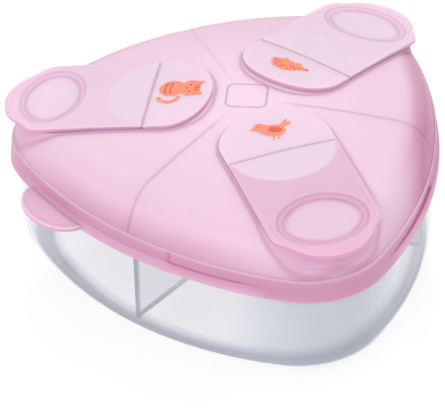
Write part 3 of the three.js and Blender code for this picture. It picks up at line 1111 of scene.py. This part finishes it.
def edge_rings(plan, bottom_drop, edge, straight):
    """Rings of a tongue's rounded edge, from under it to its top: plan and drop below the top."""
    profile = [(0.9, bottom_drop), (0.3, bottom_drop), (0.08, bottom_drop - 0.1)]
    profile += [(0.0, bottom_drop - 0.32), (0.0, 0.34), (0.07, 0.12), (0.22, 0.03), (0.4, 0.0)]
    return [(inset_plan(plan, by, edge, straight), drop) for by, drop in profile]


def top_height(at):
    """Height of the tongues' top surface at the points of a plan."""
    return tongue_height(np.hypot(at[:, 0], at[:, 1]))


def ring_below_top(corner, at, drop):
    """Points of a ring that lies by a drop below the tongues' top surface."""
    return tongue_ring(corner, at, top_height(at) - drop)


def flap_relief(at):
    """Drop of a flap's top inside the crescent that faces the hinge."""
    reach = np.hypot((at[:, 0] - HINGE_OUT) / CRESCENT[0], at[:, 1] / CRESCENT[1])
    return CRESCENT_DROP * (1 - smooth_step(0.95, 1.01, reach))


def plate_relief(at):
    """Drop of an anchor plate's top along the bevel that leads down to the hinge."""
    width = HINGE_OUT - HINGE_GAP - BEVEL_START
    return BEVEL_DROP * np.clip((at[:, 0] - BEVEL_START) / width, 0, 1)


def flap_shell(corner):
    """A flap from the middle of its underside, over its plug and edge, to the middle of its dish."""
    plan = flap_plan()
    square = (HINGE_OUT + HINGE_GAP, TONGUE_STRAIGHT)
    rings = []

    def add(at, drop):
        rings.append(ring_below_top(corner, at, drop))

    def add_oval(radii, drop):
        add(oval_facing(plan, MOUTH_OUT, radii), drop)

    inner = inset(PLUG, PLUG_WALL)
    root = inset(PLUG, -0.15)
    foot = TONGUE_WALL + PLUG_DEPTH
    ovals = [((2.5, 4.0), TONGUE_WALL), (inner, TONGUE_WALL), (inner, TONGUE_WALL + 0.2)]
    ovals += [(inner, foot - 0.3), (inset(inner, -0.3), foot), (inset(PLUG, 0.3), foot)]
    ovals += [(PLUG, foot - 0.35), (PLUG, TONGUE_WALL + 0.15), (root, TONGUE_WALL)]
    for radii, drop in ovals:
        add_oval(radii, drop)
    plug_edge = oval_facing(plan, MOUTH_OUT, root)
    for share in np.linspace(0, 1, 18)[1:]:
        add(blend_plans(plug_edge, inset_plan(plan, 0.9, *square), share), TONGUE_WALL)
    lip_wall = TONGUE_WALL + LIP_DROP
    for at, drop in edge_rings(plan, lip_wall, *square)[1:]:
        thinner = LIP_DROP * (1 - smooth_step(*LIP_RUN, at[:, 0]))
        relief = np.clip((TONGUE_WALL - drop) / TONGUE_WALL, 0, 1) * flap_relief(at)
        add(at, drop * (1 - thinner / lip_wall) + relief)
    for by in BEAD_RINGS:
        at = inset_plan(plan, by, *square)
        bump = sin(pi * min(1.0, (by - BEAD_START) / BEAD_WIDTH)) ** 2
        add(at, flap_relief(at) - BEAD_HEIGHT * bump * smooth_step(*BEAD_RUN, at[:, 0]))
    inside = inset_plan(plan, 2.0, *square)
    dish = oval_facing(plan, MOUTH_OUT, DISH_OUTER)
    for share in np.linspace(0, 1, 40)[:-1]:
        at = blend_plans(inside, dish, share)
        add(at, flap_relief(at))
    for share, sunk in DISH_STEPS:
        add_oval(between(DISH_OUTER, DISH_INNER, share), DISH_DEPTH * sunk)
    for share in (0.85, 0.6, 0.3):
        add_oval(between((0, 0), DISH_INNER, share), DISH_DEPTH)
    centre = np.array([[MOUTH_OUT, 0.0]])
    ends = [ring_below_top(corner, centre, drop) for drop in (TONGUE_WALL, DISH_DEPTH)]
    return [ends[0], *rings, ends[1]]


PLATE_MIDDLE = 18.5  # distance out, where the plate's rings close


def plate_shell(corner):
    """An anchor plate from the middle of its underside, over its edge, to the middle of its top."""
    plan = plate_plan()
    square = (HINGE_OUT - HINGE_GAP, TONGUE_INNER_END + TONGUE_INNER_ROUND)
    centre = np.array([[PLATE_MIDDLE, 0.0]])
    rings = []
    for at, drop in edge_rings(plan, TONGUE_WALL + SEAT_GAP, *square):
        share = np.clip((TONGUE_WALL - drop) / TONGUE_WALL, 0, 1)
        rings.append(ring_below_top(corner, at, drop + share * plate_relief(at)))
    inside = inset_plan(plan, 0.6, *square)
    for share in np.linspace(0, 0.96, 34):
        at = blend_plans(inside, centre, share)
        rings.append(ring_below_top(corner, at, plate_relief(at)))
    ends = [ring_below_top(corner, centre, drop) for drop in (TONGUE_WALL, 0)]
    return [ends[0], *rings, ends[1]]


WEB_TOP_DROP = 0.42
WEB_WALL = 0.4
WEB_GRIP = 0.12  # how far a web reaches into its plate and its flap
WEB_HOLLOW = 0.1
# Painted shade on the hinge web, deep in its groove.
WEB_SHADE = 0.45


def web_shell(corner):
    """The thin web of the living hinge, from plate to flap, with its hollow along the fold."""
    half = TONGUE_HALF - 0.15
    reach = HINGE_GAP + WEB_GRIP
    rings = []
    for side in np.linspace(-half, half, 41):
        ring = []
        for out in np.linspace(-reach, reach, 9):
            hollow = WEB_HOLLOW * cos(pi / 2 * out / reach)
            ring.append((HINGE_OUT + out, side, WEB_TOP_DROP + hollow))
        for out in np.linspace(reach, -reach, 9):
            ring.append((HINGE_OUT + out, side, WEB_TOP_DROP + WEB_WALL))
        at = np.array(ring)
        rings.append(ring_below_top(corner, at[:, :2], at[:, 2]))
    return capped(rings)


# Painted shade: how much deeper each flap looks beyond its crescent, set for each flap by how the
# light falls on it.
BEYOND_CRESCENT = {"front": 0.36, "left": 0.14, "right": 0.05}
CRESCENT_EDGE = (0.96, 1.02)
# Painted shade on the dish's two steps and the band between, by share of its outer oval.
DISH_RIM = {"depth": 0.2, "at": 0.98, "width": 0.03}
DISH_STEP = {"depth": 0.26, "at": 0.82, "width": 0.035}
DISH_BAND_SHADE = 0.12


def tongue_painted_shade(x, y, z):
    """Painted shade: deeper pink beyond the crescent by the hinge and round the steps of the dish."""
    depth = np.zeros_like(x)
    for name, corner in CORNERS.items():
        out, side = to_tongue(corner, x, y)
        near = (out > 0) & (np.abs(side) < 1.1 * TONGUE_HALF)
        reach = np.hypot((out - HINGE_OUT) / CRESCENT[0], side / CRESCENT[1])
        beyond = smooth_step(*CRESCENT_EDGE, reach) * smooth_step(HINGE_OUT, HINGE_OUT + 2, out)
        dish = np.hypot((out - MOUTH_OUT) / DISH_OUTER[0], side / DISH_OUTER[1])
        rims = np.zeros_like(x)
        for rim in (DISH_RIM, DISH_STEP):
            rims = rims + rim["depth"] * ridge(dish, rim["at"], rim["width"])
        band = smooth_step(0.78, 0.82, dish) * (1 - smooth_step(0.98, 1.02, dish))
        rims = rims + DISH_BAND_SHADE * band
        fade = 1 - 0.4 * smooth_step(0.9, 0.7, dish)
        depth = np.where(near, BEYOND_CRESCENT[name] * beyond * fade + rims, depth)
    return depth


def build_tongue(name, corner):
    """A flap, its plate and the web between."""
    body = f"flap_{name}"
    flap = make_object(f"pour_flap_{name}", [flap_shell(corner)], TONGUE_PINK)
    set_painted_shade(flap, tongue_painted_shade)
    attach(flap, body)
    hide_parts(f"spout_flap_{name}")
    plate = make_object(f"badge_plate_{name}", [plate_shell(corner)], TONGUE_PINK)
    set_painted_shade(plate, tongue_painted_shade)
    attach(plate, "lid")
    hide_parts(f"anchor_plate_{name}")
    web = make_object(f"living_hinge_{name}", [web_shell(corner)], THIN_PINK)
    set_painted_shade(web, lambda x, y, z: np.full_like(x, WEB_SHADE))
    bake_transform(web)
    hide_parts(f"hinge_web_{name}")


for name, corner in CORNERS.items():
    build_tongue(name, corner)

# ---- Prints on the badge plates ----

# A motif's points are (right, up) from its middle, with "up" towards the middle of the lid.
PRINT_OUT = 18.4
PRINT_SINK = 0.1
PRINT_LIFT = 0.05
MARKS_LIFT = 0.06  # of the dark marks, above the motif
SLAB_STEP = 0.003  # between one slab of ink and the next, so that no two faces coincide


def oval(centre, radii, turned=0.0, count=36):
    """Outline of an oval turned by an angle in degrees."""
    c, s = cos(radians(turned)), sin(radians(turned))
    points = []
    for k in range(count):
        a, b = radii[0] * cos(2 * pi * k / count), radii[1] * sin(2 * pi * k / count)
        points.append((centre[0] + a * c - b * s, centre[1] + a * s + b * c))
    return points


def stroke(path, half):
    """Outline of a band of even width along a path."""
    line = np.array(path, float)
    along = np.gradient(line, axis=0)
    along /= np.linalg.norm(along, axis=1, keepdims=True)
    off = half * np.stack([-along[:, 1], along[:, 0]], 1)
    return [tuple(p) for p in np.vstack([line + off, (line - off)[::-1]])]


def arc_path(centre, radius, start, end, count=16):
    """Points along an arc between two angles in degrees."""
    angles = np.radians(np.linspace(start, end, count))
    return [(centre[0] + radius * cos(a), centre[1] + radius * sin(a)) for a in angles]


# Each motif gives the outlines of its light shapes, and those of its dark marks.


def bird():
    """A bird that faces left, with a raised tail."""
    body = [oval((0.5, -0.7), (3.5, 2.4), -12), oval((-1.6, 0.5), (2.0, 1.7), 40)]
    body += [oval((-2.7, 1.6), (1.8, 1.65)), [(-4.2, 2.2), (-5.7, 1.5), (-4.1, 0.9)]]
    body += [oval((3.4, 0.3), (1.7, 0.9), 28), oval((4.7, 1.5), (1.6, 0.5), 48)]
    body.append(oval((5.0, 0.7), (1.6, 0.5), 16))
    legs = [stroke([(x, -2.6), (x, -4.2), (x - 0.7, -4.5)], 0.16) for x in (-0.4, 1.1)]
    marks = [oval((1.1, -0.5), (2.0, 1.15), -18), oval((-3.0, 1.9), (0.28, 0.28))]
    return body + legs, marks


def placed(outlines, size, right=0.0, higher=0.0):
    """Outlines enlarged about the motif's middle, and then moved."""
    return [[(x * size + right, up * size + higher) for x, up in outline] for outline in outlines]


def kitten():
    """A kitten that sits and faces the viewer, with stripes and a curled tail."""
    body = [oval((0, -2.0), (3.1, 3.0)), oval((0, 2.2), (3.2, 2.3))]
    body += [[(side * 3.0, 2.5), (side * 2.7, 5.3), (side * 0.8, 4.3)] for side in (-1, 1)]
    body.append(stroke(arc_path((3.0, -2.4), 2.4, -80, 85), 0.5))
    marks = [stroke([(x, 4.3 - 0.1 * abs(x)), (x, 3.1)], 0.19) for x in (-0.8, 0.0, 0.8)]
    marks += [stroke(arc_path((0, 4.6 + drop), 7.0, -108, -72), 0.22) for drop in (0.0, -1.2)]
    marks += [oval((x, 2.1), (0.28, 0.34)) for x in (-1.3, 1.3)] + [oval((0, 1.4), (0.35, 0.24))]
    return placed(body, 1.25, -1.2, -0.6), placed(marks, 1.25, -1.2, -0.6)


def hedgehog():
    """A hedgehog that walks left, with a zigzag of quills."""
    quills = []
    for k in range(25):
        angle = radians(-8 + 8.2 * k)
        reach = 4.0 if k % 2 else 3.1
        quills.append((0.8 + 1.15 * reach * cos(angle), -1.7 + reach * sin(angle)))
    face = [(-1.4, 0.7), (-3.0, -0.4), (-5.0, -1.7), (-4.7, -2.3), (-1.0, -2.4)]
    body = [quills, face, oval((0.2, -2.0), (3.9, 0.9))]
    body += [oval((x, -2.9), (0.75, 0.45)) for x in (-1.7, 2.2)]
    marks = [oval((-2.9, -1.0), (0.26, 0.26)), oval((-4.8, -1.95), (0.4, 0.33))]
    for reach, angles in ((1.4, (30, 90, 150)), (2.5, (15, 50, 85, 120, 155))):
        for angle in angles:
            away = (cos(radians(angle)), sin(radians(angle)))
            path = [(0.8 + 1.1 * r * away[0], -1.7 + r * away[1]) for r in (reach, reach + 0.75)]
            marks.append(stroke(path, 0.15))
    return placed(body, 1.2), placed(marks, 1.2)


def print_object(name, corner, outlines, lift, material):
    """Thin slabs of ink on an anchor plate, one for each outline of a motif."""
    points = []
    faces = []
    for k, outline in enumerate(outlines):
        shape = np.array(outline)
        at = np.stack([PRINT_OUT - shape[:, 1], shape[:, 0]], 1)
        relief = plate_relief(at)
        count = len(at)
        low = sum(len(ring) for ring in points)
        points.append(ring_below_top(corner, at, relief + PRINT_SINK))
        points.append(ring_below_top(corner, at, relief - lift - SLAB_STEP * k))
        faces.append(list(range(low + count - 1, low - 1, -1)))
        faces.append(list(range(low + count, low + 2 * count)))
        for j in range(count):
            following = (j + 1) % count
            faces.append([low + j, low + following, low + count + following, low + count + j])
    mesh = outward_mesh(name, points, faces)
    mesh.materials.append(material)
    made = add_object(name, mesh)
    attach(made, "lid")


for name, motif in (("front", bird), ("left", kitten), ("right", hedgehog)):
    shapes, marks = motif()
    print_object(f"{motif.__name__}_print", CORNERS[name], shapes, PRINT_LIFT, INK)
    lift = PRINT_LIFT + MARKS_LIFT
    print_object(f"{motif.__name__}_print_marks", CORNERS[name], marks, lift, DARK_INK)

# ---- Camera, light and floor ----

CAMERA_AZIMUTH = radians(-20.96)
CAMERA_ELEVATION = radians(34.41)
CAMERA_ROLL = radians(-1.05)
CAMERA_DISTANCE = 913.9
CAMERA_LENS = 260.2
CAMERA_REACH = 20  # metres, past the far end of the floor
AIM_RIGHT = -6.8
AIM_UP = -31.3


def add_camera():
    """The camera, placed by its direction from the top of the dome and aimed beside it."""
    level = Vector((cos(CAMERA_AZIMUTH), sin(CAMERA_AZIMUTH), 0))
    ahead = Vector((sin(CAMERA_AZIMUTH), -cos(CAMERA_AZIMUTH), 0))
    back = ahead * cos(CAMERA_ELEVATION) + Vector((0, 0, sin(CAMERA_ELEVATION)))
    upright = back.cross(level)
    right = level * cos(CAMERA_ROLL) + upright * sin(CAMERA_ROLL)
    up = upright * cos(CAMERA_ROLL) - level * sin(CAMERA_ROLL)
    place = Vector((0, 0, DOME_TOP)) + back * CAMERA_DISTANCE
    aim = Vector((0, 0, DOME_TOP)) + right * AIM_RIGHT + up * AIM_UP
    back = (place - aim).normalized()
    right = (right - back * right.dot(back)).normalized()
    up = back.cross(right)
    data = bpy.data.cameras.new("camera")
    data.lens = CAMERA_LENS
    data.sensor_width = 36
    data.clip_end = CAMERA_REACH
    camera = add_object("camera", data)
    turn = Matrix((right, up, back)).transposed().to_4x4()
    camera.matrix_world = Matrix.Translation(place * MM) @ turn
    bpy.context.scene.camera = camera


# Place and size in metres, and power in watts.
SOFTBOXES = {
    "back_softbox": ((0.25, 1.1, 0.9), (1.4, 0.9), 2.4),
    "fill_softbox": ((1.25, 0.1, 0.85), (1.2, 1.0), 3.4),
    "key_softbox": ((-1.0, -1.1, 0.95), (1.4, 1.0), 10.3),
}
LIGHT_AIM = Vector((0, 0, 0.03))


def add_softbox(name, place, size, power):
    """A rectangular light that faces the box."""
    data = bpy.data.lights.new(name, "AREA")
    data.shape = "RECTANGLE"
    data.size, data.size_y = size
    data.energy = power
    light = add_object(name, data)
    light.location = place
    light.rotation_euler = (LIGHT_AIM - Vector(place)).to_track_quat("-Z", "Y").to_euler()


FLOOR_REACH = 6.0  # metres
FLOOR_HEIGHT = -0.00002  # a hair below the base, so that the two faces never coincide
FLOOR_GREY = (0.26, 0.26, 0.26, 1)
FLOOR_GLOW = 0.74


def add_floor():
    """A pale seamless floor that glows like a light table."""
    mesh = bpy.data.meshes.new("floor")
    corners = [(-1, -1), (1, -1), (1, 1), (-1, 1)]
    places = [(x * FLOOR_REACH, y * FLOOR_REACH, FLOOR_HEIGHT) for x, y in corners]
    mesh.from_pydata(places, [], [(0, 1, 2, 3)])
    material, _, shader = new_material("floor_white")
    feed(shader, {"Base Color": FLOOR_GREY, "Roughness": 0.12})
    feed(shader, {"Emission Color": WHITE, "Emission Strength": FLOOR_GLOW})
    mesh.materials.append(material)
    add_object("floor", mesh)


# The surroundings are at full strength above, and dimmer low down and towards one direction.
SKY_HEIGHTS = (0, 0.8)
SKY_STRENGTHS = (0.5, 1)
DARK_TOWARDS = (0.6, 0.8, -1.2)
DARK_RUN = (0.3, 0.9)
DARK_STRENGTHS = (1, 0.5)


def add_world():
    """White surroundings, dimmer low down and behind the box to the right."""
    world = bpy.data.worlds.new("studio")
    bpy.context.scene.world = world
    world.use_nodes = True
    tree = world.node_tree
    place = add_node(tree, "TexCoord").outputs["Generated"]
    height = add_node(tree, "SeparateXYZ", {"Vector": place}).outputs["Z"]
    by_height = remap(tree, height, SKY_HEIGHTS, SKY_STRENGTHS)
    towards = add_node(tree, "VectorMath", {0: place, 1: DARK_TOWARDS}, operation="DOT_PRODUCT")
    by_side = remap(tree, towards.outputs["Value"], DARK_RUN, DARK_STRENGTHS)
    product = add_node(tree, "Math", {0: by_height, 1: by_side}, operation="MULTIPLY")
    feed(tree.nodes["Background"], {"Color": WHITE, "Strength": product.outputs["Value"]})


add_camera()
for name, (place, size, power) in SOFTBOXES.items():
    add_softbox(name, place, size, power)
add_floor()
add_world()
bpy.context.scene.view_settings.view_transform = "Standard"
